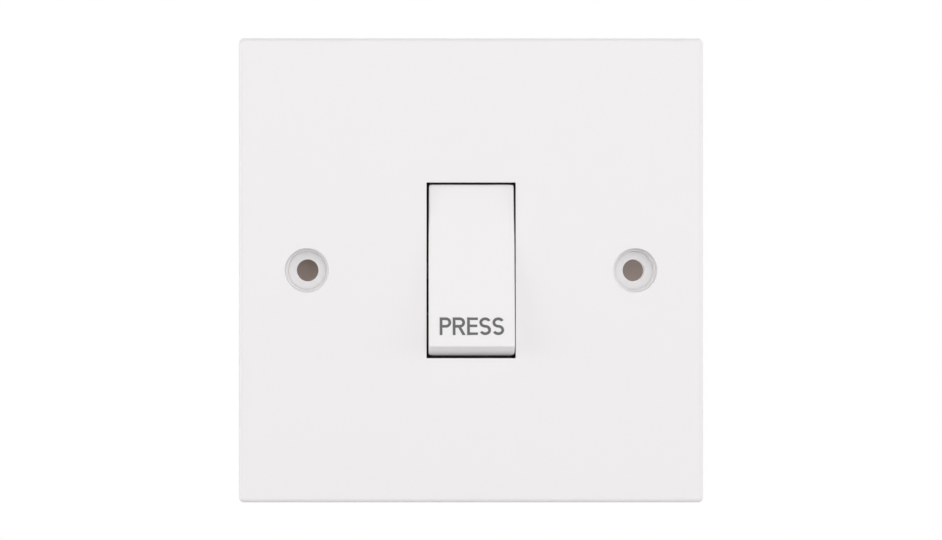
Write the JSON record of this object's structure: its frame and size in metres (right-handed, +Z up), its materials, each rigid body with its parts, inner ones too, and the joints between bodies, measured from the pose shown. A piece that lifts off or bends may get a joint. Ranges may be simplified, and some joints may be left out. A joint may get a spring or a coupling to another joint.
{
  "type": "light switch",
  "caption": "Square white wall plate with one spring-return rocker marked PRESS, counterbored fixing holes and a terminal case behind.",
  "frame": {"origin": "on the wall plane, midway between the two fixing holes, which is the plate's centre", "axes": "+X to the right and +Z up as seen from the room, +Y into the wall; the room side faces -Y"},
  "size_m": [0.086, 0.0237, 0.086],
  "materials": {
    "plate_plastic": "smooth moulded white, soft gloss",
    "rocker_plastic": "smooth moulded white, soft gloss",
    "legend_ink": "printed mid-grey ink",
    "nylon": "natural nylon",
    "spring_steel": "bright drawn wire",
    "copper_alloy": "rolled copper alloy strip",
    "silver": "turned silver alloy",
    "brass": "sawn and stamped brass",
    "screw_brass": "turned brass",
    "case_plastic": "moulded dark thermoset, slightly matt",
    "screw_steel": "zinc plated"
  },
  "bodies": {
    "housing": {"front_plate": "plate_plastic", "switch_case": "case_plastic", "case_screws": "screw_steel", "common_saddle": "brass", "common_terminal": "brass", "l1_terminal": "brass", "l1_contact_strip": "brass", "l1_contact_tip": "silver", "l2_terminal": "brass", "l2_contact_strip": "brass", "l2_contact_tip": "silver", "terminal_screws": "screw_brass", "return_spring": "spring_steel"},
    "rocker_body": {"rocker": "rocker_plastic", "press_legend": "legend_ink", "plunger_spring": "spring_steel"},
    "plunger_body": {"plunger": "nylon"},
    "contact_arm": {"moving_contact": "copper_alloy", "upper_moving_tip": "silver", "lower_moving_tip": "silver"}
  },
  "joints": [
    {"name": "rocker_press", "type": "hinge", "parent": "housing", "child": "rocker_body", "pos_m": [0, -0.00147, 0], "axis": [1, 0, 0], "range_deg": [0, 15.2], "stiffness_Nm_per_rad": 0.2, "springref_deg": -1.15, "deforming": ["return_spring"]},
    {"name": "plunger_slide", "type": "slide", "parent": "rocker_body", "child": "plunger_body", "axis": [0, -0.9912, 0.1323], "range_m": [0, 0.001], "stiffness_N_per_m": 300, "deforming": ["plunger_spring"]},
    {"name": "contact_rock", "type": "hinge", "parent": "housing", "child": "contact_arm", "pos_m": [0, 0.00753, 0], "axis": [1, 0, 0], "range_deg": [-12, 0]}
  ],
  "couplings": [
    {"joint": "contact_rock", "follows": "rocker_press", "ratio": -0.789}
  ]
}
